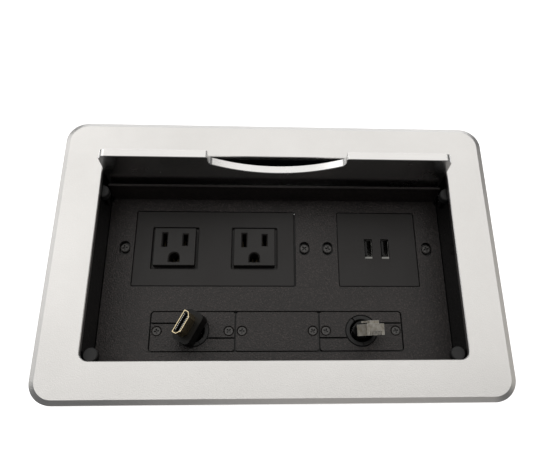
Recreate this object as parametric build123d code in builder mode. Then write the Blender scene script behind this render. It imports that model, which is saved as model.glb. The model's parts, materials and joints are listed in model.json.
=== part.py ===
"""Flush conference-table connection box with a drop-down lid, outlets, chargers and two pull-up leads.

Row frame: origin at the middle of the opening, on the table top. +X to the right, +Y to the lid side, +Z up.
All sizes in millimetres.
"""
import math
import os

from build123d import *

os.makedirs("parts", exist_ok=True)

# ---- driving sizes ----
bezel_w, bezel_d, bezel_t = 258.0, 172.0, 5.0
bezel_r = 13.0
chamfer_run, chamfer_drop = 2.8, 1.0
open_w, open_d, open_r = 210.0, 126.0, 5.0
sheet_t = 1.5
flange_w, flange_d = 234.0, 150.0
box_bottom = -112.0
deck_top, deck_t = -23.5, 2.0
deck_low = deck_top - deck_t
strap_low = deck_low - sheet_t
partition_y, partition_top, partition_half = 47.9, -6.3, 103.6
lid_w, lid_len, lid_t = 208.5, 124.5, 5.0
lid_y, lid_top = 52.0, 21.5
lid_low = lid_top - lid_len
notch_half, notch_bottom, notch_arc = 41.0, 4.4, 88.0
pin_r, pin_y = 1.5, 53.5
pin_z = lid_low + 14.0
lid_travel = 83.0
pad_r, pad_low = 4.0, -4.5
front_pad = (100.5, -58.5)
rear_pad = (104.9, 41.0)
module_y = 14.0
outlet_x0, outlet_x1 = -88.0, 11.0
plate_y0, plate_y1 = -11.1, 39.1
insert_x, insert_w, insert_h, insert_rise = (-63.1, -13.8), 25.5, 25.0, 2.2
insert_y = 14.05
insert_gap = 1.4
blade_gap = 12.7
usb_x0, usb_x1 = 38.8, 88.8
port_x = (58.2, 68.8)
module_screw_x = (-93.9, 17.6, 32.2, 95.4)
row_y0, row_y1 = -51.4, -27.4
row_x = (-74.4, -24.5, 25.4, 75.3)
plate_screw_x = (-70.6, -28.3, -20.5, 21.6, 29.4, 71.5)
row_mid = -39.2
grommet_x = (-49.5, 50.8)
ring_r, ring_hole_r = 9.4, 6.9
line_gap = 0.8
inlet_y, inlet_z = 14.0, -82.0
rod_x, rod_y, rod_r = 112.0, -20.0, 2.5
cord_r = (3.0, 2.8)
coil_r, coil_z = 33.0, -219.0
bundle_r = 9.0
low_face = (Align.CENTER, Align.CENTER, Align.MIN)


def block(x, y, z, mode=Mode.ADD):
    """A box between pairs of limits."""
    with Locations(((x[0] + x[1]) / 2, (y[0] + y[1]) / 2, (z[0] + z[1]) / 2)):
        Box(x[1] - x[0], y[1] - y[0], z[1] - z[0], mode=mode)


def slab(w, d, r, z0, z1, at=(0, 0), mode=Mode.ADD):
    """A rounded rectangle extruded from z0 to z1."""
    with BuildSketch(Plane.XY.offset(z0)) as outline:
        with Locations(at):
            RectangleRounded(w, d, r)
    extrude(outline.sketch, amount=z1 - z0, mode=mode)


def rod(x, y, z0, z1, r, mode=Mode.ADD):
    """An upright cylinder."""
    with Locations((x, y, z0)):
        Cylinder(r, z1 - z0, align=low_face, mode=mode)


def cone(x, y, z0, z1, r0, r1, mode=Mode.ADD):
    """An upright cone, r0 at z0 and r1 at z1."""
    with Locations((x, y, z0)):
        Cone(r0, r1, z1 - z0, align=low_face, mode=mode)


def cross(x, y, top, turn, size=3.4):
    """A Phillips recess cut down from the top of a screw head."""
    with Locations(Location((x, y, top), (0, 0, turn))):
        Box(size, 0.8, 2.2, mode=Mode.SUBTRACT)
        Box(0.8, size, 2.2, mode=Mode.SUBTRACT)


def mirrored(points):
    """The points given and their mirror images in X."""
    return [(s * x, y) for x, y in points for s in (-1, 1)]


def keep(part, name):
    """Label a finished piece and write its STEP file."""
    part.part.label = name
    export_step(part.part, f"parts/{name}.step")
    print(name, len(part.part.solids()), [round(v, 1) for v in part.part.bounding_box().size])


bezel_holes = mirrored([(85, 69.8), (85, -69.8), (111.8, 38), (111.8, -42)]) + [(0, 69.8), (0, -69.8)]

# ---- bezel, shell and cover ----
with BuildPart() as bezel:
    slab(bezel_w, bezel_d, bezel_r, 0, bezel_t - chamfer_drop)
    with BuildSketch(Plane.XY.offset(bezel_t - chamfer_drop)):
        RectangleRounded(bezel_w, bezel_d, bezel_r)
    extrude(amount=chamfer_drop, taper=math.degrees(math.atan(chamfer_run / chamfer_drop)))
    slab(open_w, open_d, open_r, 0, bezel_t, mode=Mode.SUBTRACT)
    slab(flange_w + 0.6, flange_d + 0.6, 10.3, 0, sheet_t, mode=Mode.SUBTRACT)
    for x, y in bezel_holes:
        rod(x, y, sheet_t, 4.3, 1.55, Mode.SUBTRACT)
    inner = [e for e in bezel.edges() if e.center().Z > bezel_t - 0.01]
    inner = [e for e in inner if abs(e.center().X) < 106 and abs(e.center().Y) < 64]
    chamfer(inner, 0.4)
keep(bezel, "bezel")

with BuildPart() as bezel_screws:
    for x, y in bezel_holes:
        cone(x, y, 0, sheet_t, 2.7, 1.5)
        rod(x, y, sheet_t, 4.2, 1.5)
        cross(x, y, 0, 20)
keep(bezel_screws, "bezel_screws")

tab_at = mirrored([(99, 57), (99, -57)])
side_screw_y = (-34.0, 24.0)
side_screw_z = -32.0
with BuildPart() as box_shell:
    slab(open_w + 2 * sheet_t, open_d + 2 * sheet_t, open_r + sheet_t, box_bottom, sheet_t)
    slab(flange_w, flange_d, 10, 0, sheet_t)
    slab(open_w, open_d, open_r, box_bottom, sheet_t, mode=Mode.SUBTRACT)
    for x, y in tab_at:
        sx, sy = math.copysign(1, x), math.copysign(1, y)
        x_lim = sorted((sx * 92.5, sx * 104))
        y_lim = sorted((sy * 51, sy * 63.2))
        block(x_lim, y_lim, (box_bottom + 1.5, box_bottom + 3.0))
        rod(x, y, box_bottom + 1, box_bottom + 4, 1.3, Mode.SUBTRACT)
    for sx in (-1, 1):
        wall = sorted((sx * 106.5, sx * 117))
        block(wall, (rod_y - 6, rod_y + 6), (-98, -96))
        rod(sx * rod_x, rod_y, -99, -95, rod_r + 0.05, Mode.SUBTRACT)
        with BuildSketch(Plane.YZ.offset(sx * 105.75)):
            with Locations((pin_y, pin_z + lid_travel / 2)):
                SlotCenterToCenter(lid_travel, 2 * pin_r + 0.1, rotation=90)
            with Locations(*[(y, side_screw_z) for y in side_screw_y]):
                Circle(1.55)
        extrude(amount=1.5, both=True, mode=Mode.SUBTRACT)
    for x, y in bezel_holes:
        cone(x, y, 0, sheet_t, 2.75, 1.55, Mode.SUBTRACT)
    block((-107, -104.5), (inlet_y - 13.8, inlet_y + 13.8), (inlet_z - 10, inlet_z + 10), Mode.SUBTRACT)
    with BuildSketch(Plane.YZ.offset(-105.75)):
        with Locations((inlet_y - 20, inlet_z), (inlet_y + 20, inlet_z)):
            Circle(1.55)
    extrude(amount=1.5, both=True, mode=Mode.SUBTRACT)
keep(box_shell, "box_shell")

with BuildPart() as bottom_cover:
    slab(open_w - 0.6, open_d - 0.6, open_r - 0.3, box_bottom, box_bottom + sheet_t)
    for x in grommet_x:
        rod(x, row_mid, box_bottom - 1, box_bottom + 3, 6.5, Mode.SUBTRACT)
    for x, y in tab_at:
        rod(x, y, box_bottom - 1, box_bottom + 3, 1.6, Mode.SUBTRACT)
    with BuildSketch(Plane.XY.offset(box_bottom)):
        with Locations((0, 14)):
            with GridLocations(14, 30, 9, 2):
                SlotCenterToCenter(18, 3, rotation=90)
    extrude(amount=sheet_t, mode=Mode.SUBTRACT)
keep(bottom_cover, "bottom_cover")

with BuildPart() as cover_screws:
    for x, y in tab_at:
        rod(x, y, box_bottom - 1.8, box_bottom, 2.8)
        rod(x, y, box_bottom, box_bottom + 7, 1.3)
        cross(x, y, box_bottom - 1.8, 30)
keep(cover_screws, "cover_screws")

with BuildPart() as cable_bushings:
    for x in grommet_x:
        rod(x, row_mid, box_bottom - 2.5, box_bottom, 8.6)
        rod(x, row_mid, box_bottom, box_bottom + 2.6, 6.4)
        rod(x, row_mid, box_bottom - 3, box_bottom + 3, 4.4, Mode.SUBTRACT)
keep(cable_bushings, "cable_bushings")

with BuildPart() as slot_covers:
    for sx in (-1, 1):
        block(sorted((sx * 106.5, sx * 110.5)), (pin_y - 4.5, pin_y + 4.5), (-98, -0.2))
        block(sorted((sx * 106.5, sx * 109.5)), (pin_y - 3.7, pin_y + 3.7), (-97, -0.2), Mode.SUBTRACT)
keep(slot_covers, "slot_covers")

# ---- deck and what it carries ----
with BuildPart() as deck_panel:
    with BuildSketch(Plane.XY.offset(deck_low)):
        with BuildLine():
            Polyline((-104.7, -62.7), (104.7, -62.7), (104.7, 45.5), (partition_half, 45.5),
                     (partition_half, partition_y + 1.5), (-partition_half, partition_y + 1.5),
                     (-partition_half, 45.5), (-104.7, 45.5), close=True)
        make_face()
        fillet(vertices().sort_by(Axis.Y)[:2], 5)
        with Locations(((outlet_x0 + outlet_x1 + 0.7) / 2, module_y)):
            RectangleRounded(outlet_x1 - outlet_x0 + 1.3, 50.8, 1, mode=Mode.SUBTRACT)
        with Locations(((usb_x0 + usb_x1) / 2, module_y)):
            RectangleRounded(usb_x1 - usb_x0 + 0.6, 50.8, 1, mode=Mode.SUBTRACT)
        with Locations(((row_x[0] + row_x[3]) / 2, (row_y0 + row_y1) / 2)):
            RectangleRounded(row_x[3] - row_x[0] + 0.9, row_y1 - row_y0 + 0.9, 2.4, mode=Mode.SUBTRACT)
        with Locations(*[(x, module_y) for x in module_screw_x]):
            SlotCenterToCenter(2.8, 6.4, rotation=90, mode=Mode.SUBTRACT)
    extrude(amount=deck_t)
    block((-partition_half, partition_half), (partition_y, partition_y + 1.5), (deck_low, partition_top))
    for sx in (-1, 1):
        block(sorted((sx * 103.2, sx * 104.7)), (-56, 44), (deck_low - 13, deck_low))
        with BuildSketch(Plane.YZ.offset(sx * 104)):
            with Locations(*[(y, side_screw_z) for y in side_screw_y]):
                Circle(1.36)
        extrude(amount=1.5, both=True, mode=Mode.SUBTRACT)
keep(deck_panel, "deck_panel")

with BuildPart() as side_screws:
    spots = [(s, y, side_screw_z) for s in (-1, 1) for y in side_screw_y]
    for s, y, z in spots:
        with Locations(Location((s * 106.5, y, z), (0, s * 90, 0))):
            Cylinder(2.8, 1.8, align=low_face)
        with Locations(Location((s * 101.5, y, z), (0, s * 90, 0))):
            Cylinder(1.3, 5.0, align=low_face)
    for s in (-1, 1):
        with Locations(Location((-109, inlet_y + s * 20, inlet_z), (0, -90, 0))):
            Cylinder(2.8, 1.8, align=low_face)
        with Locations(Location((-101, inlet_y + s * 20, inlet_z), (0, -90, 0))):
            Cylinder(1.5, 8.0, align=low_face)
keep(side_screws, "side_screws")

with BuildPart() as pad_brackets:
    for s in (-1, 1):
        for (x, y), low, high in ((front_pad, -58.0, -55.5), (rear_pad, 38.7, 43.3)):
            block(sorted((s * (x - 2.2), s * open_w / 2)), (low, high), (pad_low - 1.5, pad_low))
            block(sorted((s * 103.6, s * open_w / 2)), (low, high), (-15, pad_low))
keep(pad_brackets, "pad_brackets")

with BuildPart() as post_pads:
    for x, y in mirrored([front_pad, rear_pad]):
        rod(x, y, pad_low, 0, pad_r)
    chamfer(post_pads.edges().group_by(Axis.Z)[-1], 0.5)
    for s in (-1, 1):
        block(sorted((s * 104.9, s * 115)), (30, 50), (-20, 5), Mode.SUBTRACT)
keep(post_pads, "post_pads")

with BuildPart() as row_frame:
    block((row_x[0] - 5, row_x[3] + 5), (row_y0 - 4, row_y1 + 4), (strap_low, deck_low))
    for i in range(3):
        mid = (row_x[i] + row_x[i + 1]) / 2
        block((mid - 16.5, mid + 16.8), (row_mid - 10.8, row_mid + 10.8), (strap_low, deck_low), Mode.SUBTRACT)
    for x in plate_screw_x:
        rod(x, row_mid, strap_low, deck_low, 1.3, Mode.SUBTRACT)
keep(row_frame, "row_frame")

with BuildPart() as outlet_faceplate:
    slab(outlet_x1 - outlet_x0, plate_y1 - plate_y0, 0.8, deck_low, deck_top,
         ((outlet_x0 + outlet_x1) / 2, module_y))
    for x in insert_x:
        slab(insert_w + 2 * insert_gap, insert_h + 2 * insert_gap, 0.6, deck_low, deck_top, (x, insert_y),
             Mode.SUBTRACT)
    chamfer(outlet_faceplate.edges().group_by(Axis.Z)[-1], 0.3)
keep(outlet_faceplate, "outlet_faceplate")

for name, x in (("outlet_insert_left", insert_x[0]), ("outlet_insert_right", insert_x[1])):
    with BuildPart() as insert:
        slab(insert_w, insert_h, 0.6, deck_low - 4.5, deck_top + insert_rise, (x, insert_y))
        slab(insert_w + 6, insert_h + 6, 1, deck_low - 1.2, deck_low, (x, insert_y))
        chamfer(insert.edges().group_by(Axis.Z)[-1], 0.25)
        with BuildSketch(Plane.XY.offset(deck_low - 5)):
            with Locations((x - blade_gap / 2, insert_y + 4.6)):
                Rectangle(2.5, 8.7)
            with Locations((x + blade_gap / 2, insert_y + 4.6)):
                Rectangle(2.5, 7.2)
            with Locations((x, insert_y - 7.1)):
                Circle(2.95)
            with Locations((x, insert_y - 8.45)):
                Rectangle(5.9, 2.7)
        extrude(amount=20, mode=Mode.SUBTRACT)
        face = insert.faces().sort_by(Axis.Z)[-1]
        chamfer([e for wire in face.inner_wires() for e in wire.edges()], 0.7)
    keep(insert, name)

housing_floor = -55.0
with BuildPart() as outlet_contacts:
    for x in insert_x:
        for dx, dy in ((-blade_gap / 2, 4.6), (blade_gap / 2, 4.6), (0, -7.5)):
            px, py = x + dx, insert_y + dy
            block((px - 1.6, px + 1.6), (py - 3, py + 3), (housing_floor, deck_low - 5))
            block((px - 0.9, px + 0.9), (py - 4, py + 4), (housing_floor + 8, deck_low), Mode.SUBTRACT)
keep(outlet_contacts, "outlet_contacts")

with BuildPart() as outlet_housing:
    block((-84, 7), (-9, 37), (housing_floor - 2, strap_low))
    block((-82, 5), (-7, 35), (housing_floor, strap_low), Mode.SUBTRACT)
keep(outlet_housing, "outlet_housing")

with BuildPart() as outlet_yoke:
    block((-99.5, 23), (-10.5, 38.5), (strap_low, deck_low))
    block((-80, 3), (-5, 33), (strap_low, deck_low), Mode.SUBTRACT)
    for x in module_screw_x[:2]:
        rod(x, module_y, strap_low, deck_low, 1.5, Mode.SUBTRACT)
keep(outlet_yoke, "outlet_yoke")

with BuildPart() as usb_faceplate:
    slab(usb_x1 - usb_x0, plate_y1 - plate_y0, 0.8, deck_low, deck_top, ((usb_x0 + usb_x1) / 2, module_y))
    chamfer(usb_faceplate.edges().group_by(Axis.Z)[-1], 0.3)
    for x in port_x:
        slab(5.2, 13.4, 0.3, deck_low, deck_top, (x, module_y), Mode.SUBTRACT)
keep(usb_faceplate, "usb_faceplate")

with BuildPart() as usb_shells:
    for x in port_x:
        slab(5.1, 13.3, 0.3, -37.4, deck_top - 1.7, (x, module_y))
        slab(4.5, 12.7, 0.2, -36.8, deck_top, (x, module_y), Mode.SUBTRACT)
        block((x - 2.3, x + 2.3), (module_y - 6.5, module_y - 6.1), (deck_top - 3, deck_top - 0.3))
        block((x - 2.3, x + 2.3), (module_y - 6.5, module_y - 5.3), (deck_top - 0.6, deck_top - 0.3))
keep(usb_shells, "usb_shells")

with BuildPart() as usb_tongues:
    for x in port_x:
        block((x - 1.8, x - 0.6), (module_y - 3.7, module_y + 5.9), (-36.8, deck_top - 1.6))
keep(usb_tongues, "usb_tongues")

with BuildPart() as usb_housing:
    block((45, 82), (-6, 34), (-51, strap_low))
    block((46.5, 80.5), (-4.5, 32.5), (-49.5, strap_low), Mode.SUBTRACT)
keep(usb_housing, "usb_housing")

with BuildPart() as usb_board:
    block((46.8, 80.2), (-4.2, 32.2), (-39, -37.4))
    block((50, 64), (0, 12), (-47.5, -39))
    block((67, 77), (2, 9), (-45, -39))
    rod(72, 22, -48, -39, 4)
    rod(60, 22, -46, -39, 3)
keep(usb_board, "usb_board")

with BuildPart() as usb_yoke:
    block((27.5, 100.5), (0, 28), (strap_low, deck_low))
    block((50, 77), (4, 24), (strap_low, deck_low), Mode.SUBTRACT)
    for x in module_screw_x[2:]:
        rod(x, module_y, strap_low, deck_low, 1.5, Mode.SUBTRACT)
keep(usb_yoke, "usb_yoke")

with BuildPart() as module_screws:
    for x in module_screw_x:
        rod(x, module_y, deck_low, deck_low + 1.9, 2.8)
    fillet(module_screws.edges().group_by(Axis.Z)[-1], 0.8)
    for i, x in enumerate(module_screw_x):
        rod(x, module_y, deck_low - 7, deck_low, 1.5)
        cross(x, module_y, deck_low + 1.9, 12 + 31 * i)
keep(module_screws, "module_screws")

# ---- three plates of the front row; the outer two are split round a cable grommet ----
plate_z = (deck_low, deck_top)
split_hi, split_lo = -34.5, -43.5
row_inset, plate_corner = 0.2, 1.7


def half_plate(x0, x1, hole_x, y_left, y_right, front):
    """One half of a split cable plate: its edge is at y_left, then past the hole at y_right."""
    shift = -0.45 if front else 0.45
    outer = row_y0 + row_inset if front else row_y1 - row_inset
    for xs, y in (((x0, hole_x), y_left), ((hole_x, x1), y_right)):
        block(xs, sorted((outer, y + shift)), plate_z)
    upright = [e for e in edges().filter_by(Axis.Z) if abs(e.center().Y - outer) < 0.1]
    fillet([e for e in upright if abs(e.center().X - hole_x) > 12], plate_corner)
    rod(hole_x, row_mid, deck_low - 1, deck_top + 1, ring_r + 0.4, Mode.SUBTRACT)


def sink(x):
    """A countersunk screw hole in a front-row plate."""
    cone(x, row_mid, deck_top - 1.7, deck_top, 1.5, 3.2, Mode.SUBTRACT)
    rod(x, row_mid, deck_low, deck_top, 1.5, Mode.SUBTRACT)


halves = (
    ("hdmi_plate_rear", 0, grommet_x[0], split_hi, split_lo, False, 1),
    ("hdmi_plate_front", 0, grommet_x[0], split_hi, split_lo, True, 0),
    ("network_plate_rear", 2, grommet_x[1], split_lo, split_hi, False, 4),
    ("network_plate_front", 2, grommet_x[1], split_lo, split_hi, True, 5),
)
for name, cell, hole_x, y_left, y_right, front, screw in halves:
    with BuildPart() as half:
        half_plate(row_x[cell] + line_gap / 2, row_x[cell + 1] - line_gap / 2, hole_x, y_left, y_right, front)
        sink(plate_screw_x[screw])
    keep(half, name)

with BuildPart() as blank_plate:
    slab(row_x[2] - row_x[1] - line_gap, row_y1 - row_y0 - 2 * row_inset, plate_corner, deck_low, deck_top,
         ((row_x[1] + row_x[2]) / 2, (row_y0 + row_y1) / 2))
    sink(plate_screw_x[2])
    sink(plate_screw_x[3])
keep(blank_plate, "blank_plate")

with BuildPart() as plate_screws:
    for i, x in enumerate(plate_screw_x):
        cone(x, row_mid, deck_top - 1.7, deck_top - 0.2, 1.25, 2.45)
        rod(x, row_mid, strap_low - 4, deck_top - 1.7, 1.25)
        cross(x, row_mid, deck_top - 0.2, 10 + 37 * i, 3.0)
keep(plate_screws, "plate_screws")

for name, x, turns in (("hdmi_grommet", grommet_x[0], (200, 300)), ("network_grommet", grommet_x[1], (124, 275))):
    with BuildPart() as grommet:
        rod(x, row_mid, deck_low - 1.8, deck_low, 10.4)
        rod(x, row_mid, deck_low, deck_top + 0.2, ring_r)
        rod(x, row_mid, deck_low - 3, deck_top + 1, ring_hole_r, Mode.SUBTRACT)
        chamfer(grommet.edges().group_by(Axis.Z)[-1], 0.35)
        for turn, width, depth in zip(turns, (0.8, 0.5), (8, 2)):
            with Locations(Location((x, row_mid, deck_top + 0.2), (0, 0, turn))):
                Box(24, width, depth, align=(Align.MIN, Align.CENTER, Align.CENTER), mode=Mode.SUBTRACT)
    keep(grommet, name)

# ---- power inlet and inner wiring ----
with BuildPart() as power_inlet:
    with BuildSketch(Plane.YZ.offset(-109)):
        with Locations((inlet_y, inlet_z)):
            RectangleRounded(50, 23, 7)
        with Locations((inlet_y - 20, inlet_z), (inlet_y + 20, inlet_z)):
            Circle(1.55, mode=Mode.SUBTRACT)
    extrude(amount=2.5)
    block((-106.5, -86), (inlet_y - 13.6, inlet_y + 13.6), (inlet_z - 9.8, inlet_z + 9.8))
    with BuildSketch(Plane.YZ.offset(-109)):
        with Locations((inlet_y, inlet_z)):
            RectangleRounded(24.6, 16.6, 2.5)
    extrude(amount=17, mode=Mode.SUBTRACT)
    for dy, dz in ((-7, 2), (0, -2), (7, 2)):
        block((-93, -85), (inlet_y + dy - 2, inlet_y + dy + 2), (inlet_z + dz - 1, inlet_z + dz + 1), Mode.SUBTRACT)
keep(power_inlet, "power_inlet")

with BuildPart() as inlet_pins:
    for dy, dz in ((-7, 2), (0, -2), (7, 2)):
        block((-105, -82), (inlet_y + dy - 2, inlet_y + dy + 2), (inlet_z + dz - 1, inlet_z + dz + 1))
keep(inlet_pins, "inlet_pins")

with BuildPart() as inner_wires:
    for i, (dy, dz) in enumerate(((-7, 2), (0, -2), (7, 2))):
        wy, wz, end_x = inlet_y + dy, inlet_z + dz, -60.0 + 5 * i
        with BuildLine() as run:
            FilletPolyline((-81.9, wy, wz), (end_x, wy, wz), (end_x, wy, housing_floor - 2.1), radius=9)
        with BuildSketch(Plane(origin=(-81.9, wy, wz), z_dir=(1, 0, 0))):
            Circle(1.3)
        sweep(path=run.wires()[0])
    for wy in (8, 20):
        with Locations(Location((7.1, wy, -44), (0, 90, 0))):
            Cylinder(1.3, 37.8, align=low_face)
keep(inner_wires, "inner_wires")

# ---- mounting clamps ----
with BuildPart() as clamp_rods:
    for s in (-1, 1):
        rod(s * rod_x, rod_y, -98, -0.05, rod_r)
        rod(s * rod_x, rod_y, -101.5, -98, 4.2)
        with Locations((s * rod_x, rod_y, -101.5)):
            Box(9, 1.2, 2, mode=Mode.SUBTRACT)
keep(clamp_rods, "clamp_rods")

for side, s in (("left", -1), ("right", 1)):
    with BuildPart() as paw:
        block(sorted((s * 108, s * 135)), (rod_y - 9, rod_y + 9), (-68, -65))
        block(sorted((s * 131.5, s * 135)), (rod_y - 9, rod_y + 9), (-65, -60))
        block(sorted((s * 118, s * 131.5)), (rod_y - 1.5, rod_y + 1.5), (-65, -62.5))
        rod(s * rod_x, rod_y, -70, -60, rod_r + 0.06, Mode.SUBTRACT)
    keep(paw, f"clamp_paw_{side}")
    with BuildPart() as nut:
        with BuildSketch(Plane.XY.offset(-72)):
            with Locations((s * rod_x, rod_y)):
                RegularPolygon(4.0, 6, major_radius=False)
                Circle(rod_r + 0.06, mode=Mode.SUBTRACT)
        extrude(amount=4)
    keep(nut, f"clamp_nut_{side}")

# ---- lid, stored upright behind the partition ----
bracket_screw_x, bracket_screw_z = 95.0, (-5.0, 5.0)
arc_end = notch_bottom + notch_arc - math.sqrt(notch_arc**2 - notch_half**2)
with BuildPart() as lid_panel:
    with BuildSketch(Plane(origin=(0, lid_y, 0), x_dir=(1, 0, 0), z_dir=(0, -1, 0))):
        with BuildLine():
            n1 = ThreePointArc((-notch_half, arc_end), (0, notch_bottom), (notch_half, arc_end))
            Polyline((notch_half, arc_end), (notch_half, lid_top), (lid_w / 2, lid_top),
                     (lid_w / 2, lid_low), (-lid_w / 2, lid_low), (-lid_w / 2, lid_top),
                     (-notch_half, lid_top), (-notch_half, arc_end))
        make_face()
        corners = vertices()
        fillet([v for v in corners if abs(v.X) > 100 and v.Y > 0], 4)
        fillet([v for v in vertices() if abs(abs(v.X) - notch_half) < 0.1 and v.Y > lid_top - 1], 1.6)
        fillet([v for v in vertices() if abs(abs(v.X) - notch_half) < 0.1 and v.Y < arc_end + 0.1], 4.0)
    extrude(amount=-lid_t)
    rim = lid_panel.faces().filter_by(Axis.Y)
    chamfer([e for f in rim for e in f.edges()], 0.3)
    for s in (-1, 1):
        block(sorted((s * 90, s * 105)), (lid_y, pin_y + pin_r), (pin_z - pin_r, pin_z + pin_r), Mode.SUBTRACT)
        for dz in bracket_screw_z:
            with Locations(Location((s * bracket_screw_x, lid_y, pin_z + dz), (-90, 0, 0))):
                Cylinder(1.25, 3.5, align=low_face, mode=Mode.SUBTRACT)
keep(lid_panel, "lid_panel")

with BuildPart() as lid_brackets:
    for s in (-1, 1):
        block(sorted((s * 86, s * 103.6)), (lid_y - 1.5, lid_y), (pin_z - 8, pin_z + 8))
        for dz in bracket_screw_z:
            with Locations(Location((s * bracket_screw_x, lid_y - 3, pin_z + dz), (-90, 0, 0))):
                Cylinder(1.3, 4, align=low_face, mode=Mode.SUBTRACT)
keep(lid_brackets, "lid_brackets")

with BuildPart() as lid_bracket_screws:
    for s in (-1, 1):
        for dz in bracket_screw_z:
            with Locations(Location((s * bracket_screw_x, lid_y - 1.5, pin_z + dz), (90, 0, 0))):
                Cylinder(2.3, 0.7, align=low_face)
            with Locations(Location((s * bracket_screw_x, lid_y + 3.4, pin_z + dz), (90, 0, 0))):
                Cylinder(1.2, 4.9, align=low_face)
keep(lid_bracket_screws, "lid_bracket_screws")

with BuildPart() as lid_pins:
    for s in (-1, 1):
        with Locations(Location((s * 90, pin_y, pin_z), (0, s * 90, 0))):
            Cylinder(pin_r, 18.2, align=low_face)
        with Locations(Location((s * 107.4, pin_y, pin_z), (0, s * 90, 0))):
            Cylinder(2.6, 0.8, align=low_face)
keep(lid_pins, "lid_pins")

# ---- pull-up leads ----
tilt = Vector(-0.189, -0.060, 0.980).normalized()
mouth = Vector(-53.1, -40.3, -1.0)
across = Vector(math.cos(math.radians(59.8)), math.sin(math.radians(59.8)), 0)
across = (across - tilt * across.dot(tilt)).normalized()


def mouth_outline(w, h):
    """The outline of the video connector: two corners of one long side cut off."""
    run, rise = 0.18 * w, 0.43 * h
    Polygon((-w / 2, h / 2), (-w / 2, -h / 2 + rise), (-w / 2 + run, -h / 2),
            (w / 2 - run, -h / 2), (w / 2, -h / 2 + rise), (w / 2, h / 2), align=None)


def plug_plane(at, z):
    """A plane across a plug, z millimetres behind its mouth."""
    return Plane(origin=at[0] + at[1] * z, x_dir=at[2], z_dir=at[1])


near_end = (mouth, tilt, across)
far_end = (Vector(grommet_x[0], row_mid, -290), Vector(0, 0, -1), Vector(1, 0, 0))
for name, at in (("hdmi_shell", near_end), ("hdmi_far_shell", far_end)):
    with BuildPart() as shell:
        with BuildSketch(plug_plane(at, -11)):
            mouth_outline(13.9, 4.5)
        extrude(amount=11)
        with BuildSketch(plug_plane(at, -10)):
            mouth_outline(13.1, 3.7)
        extrude(amount=12, mode=Mode.SUBTRACT)
    keep(shell, name)

with BuildPart() as hdmi_contacts:
    with BuildSketch(plug_plane(near_end, -10)):
        mouth_outline(13.0, 3.6)
    extrude(amount=9.3)
    with BuildSketch(plug_plane(near_end, -8)):
        with Locations((0, 0.1)):
            RectangleRounded(11.4, 1.5, 0.3)
    extrude(amount=9, mode=Mode.SUBTRACT)
keep(hdmi_contacts, "hdmi_contacts")

with BuildPart() as hdmi_overmould:
    with BuildSketch(plug_plane(near_end, -20.2)):
        RectangleRounded(19.6, 11, 2.6)
    extrude(amount=9.2)
    cone(grommet_x[0], row_mid, -52, -19.5, 3.3, 5.0)
keep(hdmi_overmould, "hdmi_overmould")

with BuildPart() as hdmi_cord:
    rod(grommet_x[0], row_mid, coil_z + 0.5, -52, cord_r[0])
    rod(grommet_x[0], row_mid, -248, coil_z - 0.5, cord_r[0])
keep(hdmi_cord, "hdmi_cord")

with BuildPart() as hdmi_far_plug:
    cone(grommet_x[0], row_mid, -263, -248, 4.8, 3.3)
    slab(19.6, 11, 2.6, -279, -261, (grommet_x[0], row_mid))
keep(hdmi_far_plug, "hdmi_far_plug")

axis = Vector(0.382, -0.202, 0.902).normalized()
wide = Vector(0.9235, 0.125, -0.3635)
wide = (wide - axis * axis.dot(wide)).normalized()
nose = (Vector(56.8, -42.4, -9.0), axis, wide)
plug_len = 11.0
tail = (Vector(grommet_x[1], row_mid, -281), Vector(0, 0, -1), Vector(1, 0, 0))


def network_plug_solid(at):
    """The clear eight-way body with its contact slots and springy latch; y is the latch side, z = 0 the nose."""
    with BuildSketch(plug_plane(at, -plug_len)) as outline:
        Rectangle(11.7, 6.6)
    extrude(outline.sketch, amount=plug_len)
    with BuildSketch(plug_plane(at, -6.5)) as slots:
        with Locations(*[(-3.57 + 1.02 * i, -2.1) for i in range(8)]):
            Rectangle(0.56, 2.6)
    extrude(slots.sketch, amount=7, mode=Mode.SUBTRACT)
    with BuildSketch(plug_plane(at, -plug_len + 0.5)) as latch:
        with Locations((0, 4.7)):
            Rectangle(6.2, 1.1)
    extrude(latch.sketch, amount=plug_len - 1.5)
    with BuildSketch(plug_plane(at, -4.0)) as root:
        with Locations((0, 4.1)):
            Rectangle(6.2, 2.3)
    extrude(root.sketch, amount=3)


def network_contact_solid(at):
    """Eight gilt blades standing in the slots."""
    with BuildSketch(plug_plane(at, -6.3)) as blades:
        with Locations(*[(-3.57 + 1.02 * i, -1.9) for i in range(8)]):
            Rectangle(0.36, 1.9)
    extrude(blades.sketch, amount=4.9)


with BuildPart() as network_plug:
    network_plug_solid(nose)
keep(network_plug, "network_plug")

with BuildPart() as network_contacts:
    network_contact_solid(nose)
keep(network_contacts, "network_contacts")

with BuildPart() as network_boot:
    cone(grommet_x[1], row_mid, -52, -28, 3.1, 5.3)
    rod(grommet_x[1], row_mid, -28, -21.5, 5.3)
    with BuildSketch(plug_plane(nose, -plug_len - 3.5)) as collar:
        RectangleRounded(11.2, 6.2, 1.4)
    extrude(collar.sketch, amount=3.5)
    with BuildSketch(plug_plane(nose, -plug_len)) as ahead:
        Rectangle(30, 30)
    extrude(ahead.sketch, amount=12, mode=Mode.SUBTRACT)
keep(network_boot, "network_boot")

with BuildPart() as network_cord:
    rod(grommet_x[1], row_mid, coil_z + 0.5, -52, cord_r[1])
    rod(grommet_x[1], row_mid, -246, coil_z - 0.5, cord_r[1])
keep(network_cord, "network_cord")

with BuildPart() as network_far_plug:
    network_plug_solid(tail)
    slab(11.2, 6.2, 1.4, -270, -259.5, (grommet_x[1], row_mid))
    cone(grommet_x[1], row_mid, -259.5, -246, 4.6, 3.1)
keep(network_far_plug, "network_far_plug")

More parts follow.
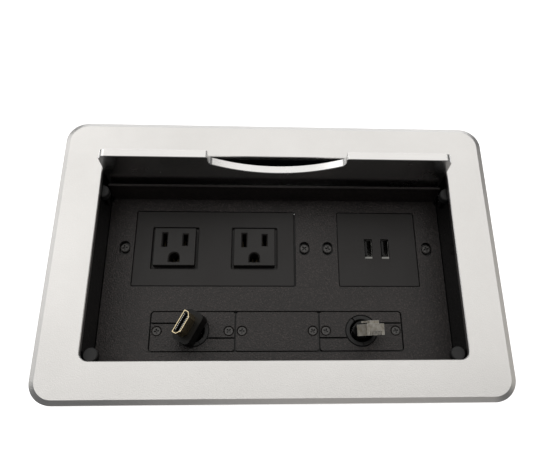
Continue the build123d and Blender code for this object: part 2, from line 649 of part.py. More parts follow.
for name, x, s, r in (("hdmi", grommet_x[0], -1, cord_r[0]), ("network", grommet_x[1], 1, cord_r[1])):
    mid_x = x + s * coil_r
    with BuildPart() as coil:
        with Locations(Location((mid_x, row_mid, coil_z), (90, 0, 0))):
            Torus(coil_r, bundle_r)
        rod(x, row_mid, coil_z - 50, coil_z + 50, r + 0.3, Mode.SUBTRACT)
        rod(x, row_mid, coil_z - 50, coil_z - 22, r + 1.6, Mode.SUBTRACT)
    keep(coil, f"{name}_coil")
    with BuildPart() as tie:
        for z in (coil_z + coil_r, coil_z - coil_r):
            with Locations(Location((mid_x, row_mid, z), (0, 90, 0))):
                Cylinder(bundle_r + 1.6, 5)
                Cylinder(bundle_r + 0.35, 6, mode=Mode.SUBTRACT)
    keep(tie, f"{name}_tie")
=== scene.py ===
# %% [markdown]
# # A flush connection box for a conference table
#
# An aluminium rim lies on the table top. A black steel well hangs under it, and a deck in the well carries
# outlets, chargers and two pull-up leads. The solid model is already made and packed, so this lesson adds only
# what the eye wants: finishes, light, the leads at their real length and a few pieces too fine for the solid model.

# %% Load the fixed frame
import json
import math

import bmesh
import bpy
from mathutils import Matrix, Vector


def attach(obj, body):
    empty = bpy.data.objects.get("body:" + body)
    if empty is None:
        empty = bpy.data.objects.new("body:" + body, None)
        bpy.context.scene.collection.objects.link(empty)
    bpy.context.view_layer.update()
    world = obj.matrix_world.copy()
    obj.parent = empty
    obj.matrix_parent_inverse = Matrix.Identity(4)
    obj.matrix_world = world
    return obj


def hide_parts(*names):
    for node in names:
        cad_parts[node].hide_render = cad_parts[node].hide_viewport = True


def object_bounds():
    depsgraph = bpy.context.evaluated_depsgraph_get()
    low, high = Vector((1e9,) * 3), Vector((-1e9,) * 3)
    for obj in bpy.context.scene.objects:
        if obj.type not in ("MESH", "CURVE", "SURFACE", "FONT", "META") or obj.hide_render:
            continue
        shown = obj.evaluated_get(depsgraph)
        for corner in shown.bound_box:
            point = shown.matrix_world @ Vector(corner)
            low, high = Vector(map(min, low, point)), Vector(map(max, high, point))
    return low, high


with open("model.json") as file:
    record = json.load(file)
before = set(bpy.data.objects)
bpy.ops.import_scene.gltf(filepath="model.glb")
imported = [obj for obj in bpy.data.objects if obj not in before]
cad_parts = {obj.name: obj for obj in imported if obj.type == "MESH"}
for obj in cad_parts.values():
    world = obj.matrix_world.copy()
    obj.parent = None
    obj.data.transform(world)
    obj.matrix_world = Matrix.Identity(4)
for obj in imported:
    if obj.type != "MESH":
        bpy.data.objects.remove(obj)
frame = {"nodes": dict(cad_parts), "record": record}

cad_low, cad_high = [list(corner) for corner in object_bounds()]
NODES = frame["nodes"]
MM = 0.001
print("solid pieces:", len(NODES), "box:", [round(b - a, 3) for a, b in zip(cad_low, cad_high)])

# %% [markdown]
# ## The camera
#
# The box is seen from above its front edge, a little to the left, about a third of a metre away. A camera can be
# placed by angles, but it's easier to check when its three axes are worked out from yaw, pitch and roll and then
# put in a matrix. The lens is shifted a little, so the box sits left of and above the line it looks along.

# %% Camera
FILM_WIDTH_MM = 36.0
LENS_MM = 39.488117
SHIFT_X, SHIFT_Y = -0.0478976, 0.0213894
NEAREST = 10 * MM
YAW, PITCH, ROLL = (math.radians(a) for a in (8.160, 66.877, 7.829))
EYE = Vector((-6.437, -133.337, 323.952)) * MM

forward = Vector((math.sin(YAW) * math.cos(PITCH), math.cos(YAW) * math.cos(PITCH), -math.sin(PITCH)))
level_right = Vector((math.cos(YAW), -math.sin(YAW), 0))
level_up = level_right.cross(forward)
right = math.cos(ROLL) * level_right + math.sin(ROLL) * level_up
up = math.cos(ROLL) * level_up - math.sin(ROLL) * level_right

lens = bpy.data.cameras.new("eye")
lens.sensor_width = FILM_WIDTH_MM
lens.lens = LENS_MM
lens.shift_x, lens.shift_y = SHIFT_X, SHIFT_Y
lens.clip_start = NEAREST
camera = bpy.data.objects.new("eye", lens)
camera.matrix_world = Matrix((
    (right.x, up.x, -forward.x, EYE.x),
    (right.y, up.y, -forward.y, EYE.y),
    (right.z, up.z, -forward.z, EYE.z),
    (0, 0, 0, 1)))
bpy.context.scene.collection.objects.link(camera)
bpy.context.scene.camera = camera
print("lens", round(lens.lens, 1), "mm, shift", round(lens.shift_x, 3), round(lens.shift_y, 3))

# %% [markdown]
# ## Light and floor
#
# Blasted metal shows a soft picture of the room, so the light is chosen by what each face mirrors. The flat top
# sees one wide panel, and the left, rear and right slopes each see one of their own. The front slope mirrors the
# gap between the wide panel and a dim front one, which is what draws the rim's near edge. A small lamp would only
# make a hot spot. The floor sheet glows, like a light table, so that it stays white without more light on the metal.

# %% Floor, room and lamps
def aim(thing, at):
    """Turn a lamp so that it shines at a point."""
    thing.rotation_euler = (Vector(at) - thing.location).to_track_quat("-Z", "Y").to_euler()


def panel(name, place, at, width, height, glow, tint=(1, 1, 1)):
    """A soft rectangular lamp; glow is its brightness as seen, so watts follow from its area."""
    light = bpy.data.lights.new(name, "AREA")
    light.shape = "RECTANGLE"
    light.size, light.size_y = width, height
    light.energy = glow * math.pi * width * height
    light.color = tint
    lamp = bpy.data.objects.new(name, light)
    lamp.location = place
    aim(lamp, at)
    bpy.context.scene.collection.objects.link(lamp)


def plain_floor(z, reach, glow):
    """A square floor sheet with a pale matt finish that glows a little."""
    mesh = bpy.data.meshes.new("floor")
    edge = [(-reach, -reach, z), (reach, -reach, z), (reach, reach, z), (-reach, reach, z)]
    mesh.from_pydata(edge, [], [(0, 1, 2, 3)])
    floor = bpy.data.objects.new("floor", mesh)
    bpy.context.scene.collection.objects.link(floor)
    sheet = bpy.data.materials.new("pale_floor")
    sheet.use_nodes = True
    shader = sheet.node_tree.nodes["Principled BSDF"]
    shader.inputs["Base Color"].default_value = (0.93, 0.93, 0.93, 1)
    shader.inputs["Roughness"].default_value = 0.9
    shader.inputs["Specular IOR Level"].default_value = 0.1
    shader.inputs["Emission Color"].default_value = (1, 1, 1, 1)
    shader.inputs["Emission Strength"].default_value = glow
    mesh.materials.append(sheet)


FLOOR_GAP = 2 * MM
FLOOR_REACH = 4.0
FLOOR_GLOW = 0.9
ROOM_GLOW = 0.12
MIDDLE = (0, 0, 0)
plain_floor(cad_low[2] - FLOOR_GAP, FLOOR_REACH, FLOOR_GLOW)
room = bpy.data.worlds.new("room")
room.use_nodes = True
room.node_tree.nodes["Background"].inputs["Color"].default_value = (0.97, 0.98, 1.0, 1)
room.node_tree.nodes["Background"].inputs["Strength"].default_value = ROOM_GLOW
bpy.context.scene.world = room
panel("wide_panel", (-0.08, 0.72, 1.25), MIDDLE, 2.5, 1.95, 0.93, (1.0, 0.982, 0.955))
panel("left_panel", (-1.20, 0.55, 0.80), MIDDLE, 1.1, 1.0, 0.80, (1.0, 0.99, 0.97))
panel("rear_panel", (0.10, 1.70, 0.45), MIDDLE, 2.0, 0.6, 1.0)
panel("right_panel", (1.30, 0.25, 0.90), MIDDLE, 1.0, 0.9, 0.5, (1.0, 0.96, 0.88))
panel("front_panel", (0.25, -0.75, 1.20), MIDDLE, 1.0, 0.6, 0.35, (1.0, 0.95, 0.90))
bpy.context.scene.view_settings.view_transform = "Standard"

# %% [markdown]
# ## Shared surface effects
#
# Three effects turn up on many finishes, so each is a node group that is built once: *speckle*, the fine pits and
# flecks of blasted metal and powder coat; *patches*, slow cloudy variation such as handling and dust leave; and
# *edge wear and painted light*, which finds corners by comparing a rounded normal with the true one. It marks real
# wear on the metals, painted shade in the gaps beside the dark plates, inserts and screws, and a painted highlight
# on the edges of the rubber and the clear plug. Groups only hand out masks and heights. Every shader stays in its
# own material.

# %% Helpers for node groups
def new_group(name, ins, outs):
    """An empty shader group with named float or vector sockets; returns the group and its two end nodes."""
    group = bpy.data.node_groups.new(name, "ShaderNodeTree")
    for label, kind, value in ins:
        socket = group.interface.new_socket(label, in_out="INPUT", socket_type=kind)
        if value is not None:
            socket.default_value = value
    for label, kind in outs:
        group.interface.new_socket(label, in_out="OUTPUT", socket_type=kind)
    return group, group.nodes.new("NodeGroupInput"), group.nodes.new("NodeGroupOutput")


def math_node(tree, operation, a, b=None):
    """A Math node whose inputs are sockets or plain numbers; returns its output."""
    node = tree.nodes.new("ShaderNodeMath")
    node.operation = operation
    for socket, value in zip(node.inputs, (a, b)):
        if value is None:
            continue
        if isinstance(value, (int, float)):
            socket.default_value = value
        else:
            tree.links.new(value, socket)
    return node.outputs[0]


def spread(tree, value, low, high, to_low, to_high):
    """Map a range to another, clamped."""
    node = tree.nodes.new("ShaderNodeMapRange")
    tree.links.new(value, node.inputs["Value"])
    for label, number in (("From Min", low), ("From Max", high), ("To Min", to_low), ("To Max", to_high)):
        node.inputs[label].default_value = number
    return node.outputs["Result"]


# %% Speckle: fine grain at two sizes
def make_speckle():
    """Height and fleck masks from two noises; Size is the grain in metres."""
    group, start, end = new_group(
        "speckle", [("Size", "NodeSocketFloat", 0.0004)],
        [("Height", "NodeSocketFloat"), ("Flecks", "NodeSocketFloat")])
    tree = group
    coarse_scale, coarse_share = 0.7, 0.5
    place = tree.nodes.new("ShaderNodeTexCoord")
    scale = math_node(tree, "DIVIDE", 1.0, start.outputs["Size"])
    fine = tree.nodes.new("ShaderNodeTexNoise")
    fine.inputs["Detail"].default_value = 2.0
    coarse = tree.nodes.new("ShaderNodeTexVoronoi")
    coarse.feature = "F1"
    wider = math_node(tree, "MULTIPLY", scale, coarse_scale)
    for node, size in ((fine, scale), (coarse, wider)):
        tree.links.new(place.outputs["Object"], node.inputs["Vector"])
        tree.links.new(size, node.inputs["Scale"])
    pits = math_node(tree, "MULTIPLY", coarse.outputs["Distance"], coarse_share)
    height = math_node(tree, "ADD", fine.outputs["Fac"], pits)
    tree.links.new(height, end.inputs["Height"])
    tree.links.new(spread(tree, fine.outputs["Fac"], 0.52, 0.72, 0.0, 1.0), end.inputs["Flecks"])
    return group


SPECKLE = make_speckle()


# %% Patches: slow cloudy variation
def make_patches():
    """A soft mask that varies over tens of millimetres."""
    group, start, end = new_group("patches", [("Size", "NodeSocketFloat", 0.03)], [("Mask", "NodeSocketFloat")])
    place = group.nodes.new("ShaderNodeTexCoord")
    cloud = group.nodes.new("ShaderNodeTexNoise")
    cloud.inputs["Detail"].default_value = 5.0
    cloud.inputs["Roughness"].default_value = 0.6
    group.links.new(place.outputs["Object"], cloud.inputs["Vector"])
    group.links.new(math_node(group, "DIVIDE", 1.0, start.outputs["Size"]), cloud.inputs["Scale"])
    group.links.new(spread(group, cloud.outputs["Fac"], 0.3, 0.7, 0.0, 1.0), end.inputs["Mask"])
    return group


PATCHES = make_patches()


# %% Edge wear, painted shade and painted highlight: where the rounded normal leaves the true one
def make_edge_wear_and_painted_light():
    """A mask that is 1 on corners within Width metres."""
    group, start, end = new_group(
        "edge_wear_and_painted_light", [("Width", "NodeSocketFloat", 0.0004)], [("Mask", "NodeSocketFloat")])
    rounded = group.nodes.new("ShaderNodeBevel")
    rounded.samples = 4
    true = group.nodes.new("ShaderNodeNewGeometry")
    dot = group.nodes.new("ShaderNodeVectorMath")
    dot.operation = "DOT_PRODUCT"
    group.links.new(start.outputs["Width"], rounded.inputs["Radius"])
    group.links.new(rounded.outputs["Normal"], dot.inputs[0])
    group.links.new(true.outputs["Normal"], dot.inputs[1])
    # One corner mask for real wear on the metals and for painted light elsewhere: painted shade along the dark
    # plates, inserts and screws, and a painted highlight on the rubber and the clear plug.
    group.links.new(spread(group, dot.outputs["Value"], 0.995, 0.8, 0.0, 1.0), end.inputs["Mask"])
    return group


EDGE_WEAR_AND_PAINTED_LIGHT = make_edge_wear_and_painted_light()
print("groups:", [g.name for g in bpy.data.node_groups])

# %% [markdown]
# ## Finishes
#
# Each finish is one material: a base colour that varies a little, a roughness that varies with it and a bump from
# the grain. One helper lays these three out, because every finish here is the same kind of thing with other
# numbers: aluminium is metal with fine grain, powder coat is a dark rough plastic with coarse grain, and so on.
# Bare metal gets brighter at its corners, where it's handled. The painted plates, the outlet inserts and the screws
# get darker there as painted shade, because a thin gap beside a rounded corner is mostly shadow: that's paint
# standing in for shade. The rubber gets lighter there as a painted highlight. The brass, gilt and nickel here are
# also darker than the real metals, as painted shade, so that they read as dark in deep holes, and out in the open
# look too dull.

# %% One helper for all opaque finishes
def effect(tree, group, **values):
    """Place a shared group in a material with its own values."""
    node = tree.nodes.new("ShaderNodeGroup")
    node.node_tree = group
    for label, value in values.items():
        node.inputs[label].default_value = value
    return node


def two_tone(tree, mask, first, second):
    """A colour between two by a mask; each is an RGB triple or a colour socket."""
    mix = tree.nodes.new("ShaderNodeMix")
    mix.data_type = "RGBA"
    tree.links.new(mask, mix.inputs["Factor"])
    for label, colour in (("A", first), ("B", second)):
        if isinstance(colour, tuple):
            mix.inputs[label].default_value = (*colour, 1)
        else:
            tree.links.new(colour, mix.inputs[label])
    return mix.outputs["Result"]


def finish(name, dark, light, rough, metal=0.0, grain=0.0004, bump=0.05, depth=0.0001, cloud=0.03,
           wear_and_painted_light_colour=None, wear_and_painted_light_width=0.0003, wear_and_painted_light_amount=0.6, flecks=0.0, specular=0.5):
    """A procedural opaque material: rough is (least, most), and worn is the colour of its corners: rubbed bright on
    the metals, lighter on the black plastic, painted shade on the dark plates, inserts and screws, and a painted
    highlight on the rubber.
    """
    material = bpy.data.materials.new(name)
    material.use_nodes = True
    tree = material.node_tree
    shader = tree.nodes["Principled BSDF"]
    speckle = effect(tree, SPECKLE, Size=grain)
    patches = effect(tree, PATCHES, Size=cloud)
    mask = patches.outputs["Mask"]
    if flecks:
        amount = math_node(tree, "MULTIPLY", speckle.outputs["Flecks"], flecks)
        mask = math_node(tree, "ADD", math_node(tree, "MULTIPLY", mask, 1 - flecks), amount)
    colour = two_tone(tree, mask, dark, light)
    # Corner colour: rubbed bright on the metals, lighter on the black plastic, painted shade on the dark plates,
    # inserts and screws, and a painted highlight on the rubber.
    if wear_and_painted_light_colour:
        edge = effect(tree, EDGE_WEAR_AND_PAINTED_LIGHT, Width=wear_and_painted_light_width)
        colour = two_tone(tree, math_node(tree, "MULTIPLY", edge.outputs["Mask"], wear_and_painted_light_amount), colour, wear_and_painted_light_colour)
    tree.links.new(colour, shader.inputs["Base Color"])
    tree.links.new(spread(tree, mask, 0.0, 1.0, *rough), shader.inputs["Roughness"])
    shader.inputs["Metallic"].default_value = metal
    shader.inputs["Specular IOR Level"].default_value = specular
    relief = tree.nodes.new("ShaderNodeBump")
    relief.inputs["Strength"].default_value = bump
    relief.inputs["Distance"].default_value = depth
    tree.links.new(speckle.outputs["Height"], relief.inputs["Height"])
    tree.links.new(relief.outputs["Normal"], shader.inputs["Normal"])
    return material


# %% The metals
METALS = {
    "aluminium_bead": finish(
        "aluminium_bead", (0.72, 0.712, 0.70), (0.84, 0.832, 0.82), (0.27, 0.36), metal=1.0,
        grain=0.00050, bump=0.55, depth=0.00010, cloud=0.05, wear_and_painted_light_colour=(0.93, 0.93, 0.92), flecks=0.45),
    "aluminium_satin": finish(
        "aluminium_satin", (0.76, 0.755, 0.745), (0.82, 0.815, 0.805), (0.20, 0.30), metal=1.0,
        grain=0.0003, bump=0.08, depth=0.00003, cloud=0.04, wear_and_painted_light_colour=(0.95, 0.95, 0.94)),
    "steel_zinc": finish(
        "steel_zinc", (0.50, 0.50, 0.48), (0.62, 0.62, 0.58), (0.28, 0.45), metal=1.0,
        grain=0.0006, bump=0.1, cloud=0.008, wear_and_painted_light_colour=(0.75, 0.75, 0.73)),
    # Painted shade: far darker than real brass, so the contacts read dark deep in the outlet slots.
    "brass_contact": finish(
        "brass_contact", (0.060, 0.048, 0.026), (0.10, 0.08, 0.045), (0.35, 0.50), metal=1.0,
        grain=0.0005, bump=0.05, cloud=0.01),
    # Painted shade: far darker than real gold, so the contacts read dark deep inside the plugs.
    "gilt_contact": finish(
        "gilt_contact", (0.10, 0.068, 0.034), (0.16, 0.11, 0.055), (0.3, 0.42), metal=1.0,
        grain=0.0003, bump=0.03, cloud=0.004),
    "gilt_shell": finish(
        "gilt_shell", (0.80, 0.64, 0.36), (0.90, 0.76, 0.48), (0.22, 0.34), metal=1.0,
        grain=0.0003, bump=0.04, cloud=0.006, wear_and_painted_light_colour=(1.0, 0.92, 0.7)),
    # Painted shade: far darker than real nickel, so the shells read dark deep in their holes.
    "bright_nickel": finish(
        "bright_nickel", (0.14, 0.14, 0.135), (0.22, 0.22, 0.21), (0.22, 0.34), metal=1.0,
        grain=0.0003, bump=0.03, cloud=0.006),
}
print("metals:", list(METALS))

# %% The paints, plastics and rubber
DARKS = {
    "black_gloss_paint": finish(
        "black_gloss_paint", (0.003, 0.003, 0.003), (0.005, 0.005, 0.0052), (0.16, 0.28), specular=0.25,
        grain=0.0008, bump=0.06, depth=0.0001, cloud=0.05),
    # Painted shade: the corners go nearly black, so the gaps between deck and plates read as shadow lines.
    "black_powder_coat": finish(
        "black_powder_coat", (0.0095, 0.0074, 0.0070), (0.080, 0.064, 0.061), (0.40, 0.56),
        grain=0.00070, bump=0.8, depth=0.00028, cloud=0.03, flecks=0.85, wear_and_painted_light_colour=(0.0015, 0.0015, 0.0015),
        wear_and_painted_light_width=0.0006, wear_and_painted_light_amount=1.0),
    # Painted shade: the plate corners go nearly black, for the shadow in the gaps beside them.
    "black_faceplate": finish(
        "black_faceplate", (0.0135, 0.0115, 0.0110), (0.0185, 0.0160, 0.0152), (0.50, 0.58),
        grain=0.0003, bump=0.08, depth=0.00005, cloud=0.02, wear_and_painted_light_colour=(0.001, 0.001, 0.001), wear_and_painted_light_width=0.0006, wear_and_painted_light_amount=1.0),
    # Painted shade: the insert's corners are darkened, for the shadowed border round each outlet insert.
    "black_insert": finish(
        "black_insert", (0.0105, 0.0092, 0.0086), (0.0145, 0.0128, 0.012), (0.44, 0.52),
        grain=0.0004, bump=0.08, depth=0.00005, cloud=0.015, wear_and_painted_light_colour=(0.001, 0.001, 0.001), wear_and_painted_light_amount=0.95),
    "black_plastic": finish(
        "black_plastic", (0.0025, 0.0025, 0.0025), (0.005, 0.005, 0.0048), (0.36, 0.50), specular=0.3,
        grain=0.0005, bump=0.2, depth=0.00006, cloud=0.012, wear_and_painted_light_colour=(0.012, 0.012, 0.012)),
    # Painted highlight: the rubber's corners are lightened, for the faint light arc along edges such as the grommet
    # rings.
    "dark_rubber": finish(
        "dark_rubber", (0.014, 0.014, 0.0143), (0.021, 0.021, 0.0213), (0.52, 0.66),
        grain=0.0005, bump=0.2, depth=0.00006, cloud=0.01, wear_and_painted_light_colour=(0.045, 0.045, 0.046)),
    # Painted shade: the screw corners go black, for the shadow in the cross recess and round the head.
    "black_screw": finish(
        "black_screw", (0.060, 0.057, 0.055), (0.090, 0.086, 0.083), (0.36, 0.48),
        grain=0.0004, bump=0.08, depth=0.00005, cloud=0.004, wear_and_painted_light_colour=(0.001, 0.001, 0.001),
        wear_and_painted_light_width=0.00035, wear_and_painted_light_amount=1.0),
    "green_board": finish(
        "green_board", (0.006, 0.06, 0.02), (0.012, 0.11, 0.035), (0.25, 0.40),
        grain=0.001, bump=0.1, cloud=0.008),
    "wire_sleeve": finish(
        "wire_sleeve", (0.05, 0.05, 0.05), (0.09, 0.09, 0.09), (0.35, 0.5),
        grain=0.0006, bump=0.05, cloud=0.01),
    "cord_jacket": finish(
        "cord_jacket", (0.010, 0.010, 0.0105), (0.018, 0.018, 0.0185), (0.42, 0.56),
        grain=0.0006, bump=0.12, depth=0.00008, cloud=0.015),
}
print("dark finishes:", list(DARKS))

# %% [markdown]
# ## Clear plastic
#
# The network plug is moulded in clear polycarbonate. It could be one glass shader, but a plug this small mostly
# shows milky edges and what is inside it, so a part-transmissive plastic with cloudy roughness reads better. The
# milky edges are a painted highlight: the colour is whitened near every edge.

# %% Clear plug plastic
def clear_plastic():
    """Slightly milky transmissive plastic, with a painted highlight that whitens its edges."""
    material = bpy.data.materials.new("clear_plastic")
    material.use_nodes = True
    tree = material.node_tree
    shader = tree.nodes["Principled BSDF"]
    patches = effect(tree, PATCHES, Size=0.0028)
    edge = effect(tree, EDGE_WEAR_AND_PAINTED_LIGHT, Width=0.0006)
    tint = two_tone(tree, patches.outputs["Mask"], (0.42, 0.37, 0.29), (0.95, 0.91, 0.82))
    # Painted highlight: the colour goes nearly white along the edges.
    colour = two_tone(tree, edge.outputs["Mask"], tint, (0.97, 0.97, 0.95))
    tree.links.new(colour, shader.inputs["Base Color"])
    tree.links.new(spread(tree, patches.outputs["Mask"], 0, 1, 0.08, 0.22), shader.inputs["Roughness"])
    shader.inputs["Transmission Weight"].default_value = 0.5
    shader.inputs["IOR"].default_value = 1.58
    return material


FINISHES = {**METALS, **DARKS, "clear_plastic": clear_plastic()}

# %% Give every carried-over piece its finish
SLOT_OF = {part["node"]: part["material_slot"] for part in frame["record"]["subparts"]}
for node, thing in NODES.items():
    thing.data.materials.clear()
    thing.data.materials.append(FINISHES[SLOT_OF[node]])
print("finished nodes:", len(SLOT_OF))

# %% [markdown]
# ## The leads
#
# Each lead is a round cord. It leaves its plug's strain relief, drops straight through the box and ends in a neat
# tied coil with the far plug hanging from it. A coil could be a stack of rings, but a real coil is one length, so
# this is one smooth spline. Its seven turns lie in eight places of a square bundle, and each turn moves over to
# the next place at its own angle, so that no two turns pass through each other.

# %% A cord from a few points
def cord_curve(name, points, radius, body, slot_name):
    """One smooth open spline with a round section."""
    curve = bpy.data.curves.new(name, "CURVE")
    curve.dimensions = "3D"
    curve.bevel_depth = radius
    curve.bevel_resolution = 4
    curve.resolution_u = 6
    curve.use_fill_caps = True
    spline = curve.splines.new("NURBS")
    spline.points.add(len(points) - 1)
    for knot, point in zip(spline.points, points):
        knot.co = (*point, 1)
    spline.order_u = 3
    spline.use_endpoint_u = True
    thing = bpy.data.objects.new(name, curve)
    bpy.context.scene.collection.objects.link(thing)
    curve.materials.append(FINISHES[slot_name])
    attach(thing, body)
    return thing


# %% The turns of a coil
PLACES = ((-1, 1), (-1, 0), (-1, -1), (0, -1), (0, 0), (1, 0), (1, 1), (0, 1))
TURNS = len(PLACES) - 1
KNOTS = 16
FIRST_MOVE = 14
MOVE_STEP = 1.5
MOVE_KNOTS = 2


def coil_turns(middle, inner, radius, pitch):
    """Knots of the turns, which start downwards at the side that inner (1 or -1 in X) points to."""
    points = []
    for step in range(TURNS * KNOTS + 1):
        turn, part = divmod(step, KNOTS)
        turn = min(turn, TURNS - 1) if step < TURNS * KNOTS else TURNS
        here = PLACES[turn]
        there = PLACES[min(turn + 1, TURNS)]
        middle_of_move = FIRST_MOVE - MOVE_STEP * turn
        share = (part - middle_of_move) / MOVE_KNOTS + 0.5 if turn < TURNS else 0.0
        share = min(1.0, max(0.0, share))
        deep, out = (pitch * (a + (b - a) * share) for a, b in zip(here, there))
        angle = 2 * math.pi * part / KNOTS
        reach = radius + out
        points.append((middle[0] + inner * reach * math.cos(angle), middle[1] + deep,
                       middle[2] - reach * math.sin(angle)))
    return points


# %% The two leads
COIL_R = 33.0 * MM
COIL_Z = -213.0 * MM
COIL_Y = -38.8 * MM
ROW_MID = -39.2 * MM
RELIEF_LOW = -52.0 * MM
STRAIGHT_Z = [z * MM for z in (-80.0, -118.0, -160.0, -173.0)]
DRIFTED_Z = [z * MM for z in (-193.0, -207.0)]
LEAVING_Z, NEARLY_BACK_Z = -228.0 * MM, -241.0 * MM
LEADS = (
    ("hdmi", -49.5 * MM, -1, 3.0 * MM, -248 * MM, ("hdmi_overmould", "hdmi_far_plug", "hdmi_far_shell")),
    ("network", 50.8 * MM, 1, 2.8 * MM, -246 * MM, ("network_boot", "network_far_plug")),
)
CORDS = {}
for name, x, side, r, low, carried in LEADS:
    pitch = 2 * r
    middle = (x + side * COIL_R, COIL_Y, COIL_Z)
    turns = coil_turns(middle, -side, COIL_R, pitch)
    start, stop = turns[0], turns[-1]
    route = [(x, ROW_MID, z) for z in (RELIEF_LOW, *STRAIGHT_Z)]
    route += [(start[0], start[1], z) for z in DRIFTED_Z]
    route += turns
    route += [(stop[0], stop[1], LEAVING_Z), (x - side * MM, ROW_MID, NEARLY_BACK_Z), (x, ROW_MID, low)]
    lead = cord_curve(f"{name}_lead", route, r, f"{name}_lead", "cord_jacket")
    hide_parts(f"{name}_cord", f"{name}_coil")
    CORDS[name] = (lead, r, x, carried, middle)
    print(name, "lead knots", len(route))

# %% [markdown]
# ## Cable ties
#
# Two nylon ties hold each coil. The solid model has plain rings for them. A real tie is a thin strap pulled flat
# round the bundle, with a square head where the tail comes through, so each one is drawn as that: a strap that
# follows the bundle's outline, a bevelled head and a clipped tail.

# %% Mesh helper
def mesh_piece(name, build, slot_name, body, bevel=0.0, segments=2):
    """Make a piece from a bmesh-filling function, with rounded edges and a finish, on a body."""
    bm = bmesh.new()
    build(bm)
    bmesh.ops.remove_doubles(bm, verts=bm.verts, dist=1e-6)
    bmesh.ops.recalc_face_normals(bm, faces=bm.faces)
    mesh = bpy.data.meshes.new(name)
    bm.to_mesh(mesh)
    bm.free()
    thing = bpy.data.objects.new(name, mesh)
    bpy.context.scene.collection.objects.link(thing)
    mesh.materials.append(FINISHES[slot_name])
    if bevel:
        rounding = thing.modifiers.new("rounding", "BEVEL")
        rounding.width, rounding.segments = bevel, segments
        rounding.limit_method = "ANGLE"
    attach(thing, body)
    return thing


def box_into(bm, centre, size, turn=None):
    """Add one box to a bmesh, turned by a matrix if given."""
    made = bmesh.ops.create_cube(bm, size=1.0)
    shape = Matrix.Translation(centre) @ (turn or Matrix()) @ Matrix.Diagonal((*size, 1))
    bmesh.ops.transform(bm, matrix=shape, verts=made["verts"])


# %% The strap's outline
def hull_outline(corners, radius, steps=5):
    """A rounded outline round circles at the corners of a convex shape, counter-clockwise."""
    outline = []
    count = len(corners)
    for i, corner in enumerate(corners):
        before = Vector(corner) - Vector(corners[i - 1])
        after = Vector(corners[(i + 1) % count]) - Vector(corner)
        first = math.atan2(-before.x, before.y)
        last = math.atan2(-after.x, after.y)
        while last < first:
            last += 2 * math.pi
        for k in range(steps + 1):
            a = first + (last - first) * k / steps
            outline.append((corner[0] + radius * math.cos(a), corner[1] + radius * math.sin(a)))
    return outline


STRAP_W, STRAP_T, STRAP_GAP = 4.6 * MM, 0.8 * MM, 0.1 * MM
HEAD = (7.0 * MM, 3.4 * MM, 5.4 * MM)
TAIL = (4.2 * MM, 1.1 * MM, 7.0 * MM)
RIDGE = (3.2 * MM, 0.35 * MM, 0.45 * MM)
HEAD_OUT, TAIL_OUT, TAIL_UP = 1.4 * MM, 1.6 * MM, 5.5 * MM
RIDGE_OUT, RIDGE_UP, RIDGE_PITCH, RIDGES = 2.3 * MM, 3.4 * MM, 1.1 * MM, 5
BUNDLE_CORNERS = ((-1, -1), (0, -1), (1, 0), (1, 1), (-1, 1))


def tie_shape(bm, middle, up_side, r):
    """A strap, head and tail round the bundle at the coil's top (up_side 1) or bottom (-1)."""
    pitch = 2 * r
    corners = [(a * pitch, b * pitch) for a, b in BUNDLE_CORNERS]
    centre = Vector((middle[0], middle[1], middle[2] + up_side * COIL_R))
    rings = []
    for gap in (STRAP_GAP, STRAP_GAP + STRAP_T):
        for along in (-STRAP_W / 2, STRAP_W / 2):
            rings.append([bm.verts.new(centre + Vector((along, a, up_side * b)))
                          for a, b in hull_outline(corners, r + gap)])
    inner_a, inner_b, outer_a, outer_b = rings
    for one, two in ((inner_a, inner_b), (inner_b, outer_b), (outer_b, outer_a), (outer_a, inner_a)):
        for i in range(len(one)):
            j = (i + 1) % len(one)
            bm.faces.new((one[i], one[j], two[j], two[i]))
    side = pitch + r + STRAP_T
    box_into(bm, centre + Vector((0, side + HEAD_OUT, 0)), HEAD)
    box_into(bm, centre + Vector((0, side + TAIL_OUT, up_side * TAIL_UP)), TAIL)
    for k in range(RIDGES):
        box_into(bm, centre + Vector((0, side + RIDGE_OUT, up_side * (RIDGE_UP + RIDGE_PITCH * k))), RIDGE)


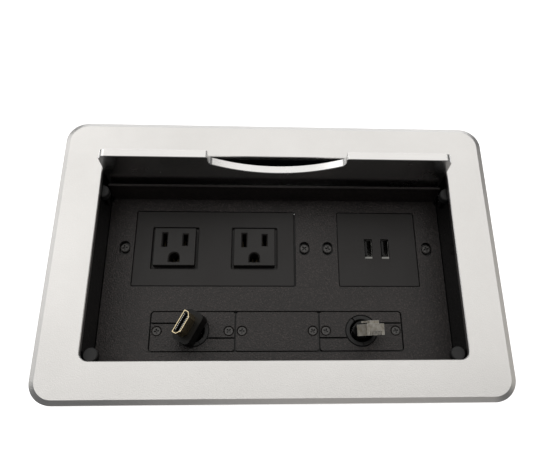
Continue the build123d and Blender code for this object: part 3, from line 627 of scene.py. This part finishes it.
def line_length(lead):
    """The length of a cord's own line, without its thickness."""
    bare = lead.data.copy()
    bare.bevel_depth = 0.0
    line = bpy.data.objects.new("measure", bare)
    mesh = bpy.data.meshes.new_from_object(line)
    ends = [[mesh.vertices[i].co for i in edge.vertices] for edge in mesh.edges]
    total = sum((one - two).length for one, two in ends)
    bpy.data.objects.remove(line)
    return total


TIE_ROUNDING = 0.25 * MM
for name, (lead, r, x, carried, middle) in CORDS.items():
    ties = mesh_piece(f"{name}_ties", lambda bm: [tie_shape(bm, middle, end, r) for end in (1, -1)],
                      "black_plastic", f"{name}_lead", TIE_ROUNDING)
    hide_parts(f"{name}_tie")
    length = line_length(lead)
    print(name, "lead is", round(length, 3), "m long")

# %% [markdown]
# ## Contacts in the display plug
#
# The solid model's plug has a bare insulator. Nineteen spring contacts show in its mouth as two rows of bright
# dashes, ten on the long side and nine between them on the other, so they're laid out along the plug's own axes,
# the same three numbers the solid model leans it by.

# %% Two rows of blades
MOUTH = Vector((-53.1, -40.3, -1.0)) * MM
LEAN = Vector((-0.189, -0.060, 0.980)).normalized()
ACROSS_DEG = 59.8
BLADE = (0.5 * MM, 0.55 * MM, 0.5 * MM)
BLADE_PITCH, BLADE_DEPTH = 1.05 * MM, -0.75 * MM
BLADE_ROWS = ((10, 1.32 * MM), (9, -1.22 * MM))
BLADE_ROUNDING = 0.06 * MM
level = Vector((math.cos(math.radians(ACROSS_DEG)), math.sin(math.radians(ACROSS_DEG)), 0))
across = (level - LEAN * LEAN.dot(level)).normalized()
TURN = Matrix((across, LEAN.cross(across), LEAN)).transposed().to_4x4()


def blade_rows(bm):
    """Ten and nine blades on the insulator's two long lips, just behind the mouth."""
    for count, y in BLADE_ROWS:
        for i in range(count):
            place = TURN @ Vector(((i - (count - 1) / 2) * BLADE_PITCH, y, BLADE_DEPTH))
            box_into(bm, MOUTH + place, BLADE, TURN)


blades = mesh_piece("hdmi_blades", blade_rows, "steel_zinc", "hdmi_lead", BLADE_ROUNDING, 1)
print("blade faces:", len(blades.data.polygons))
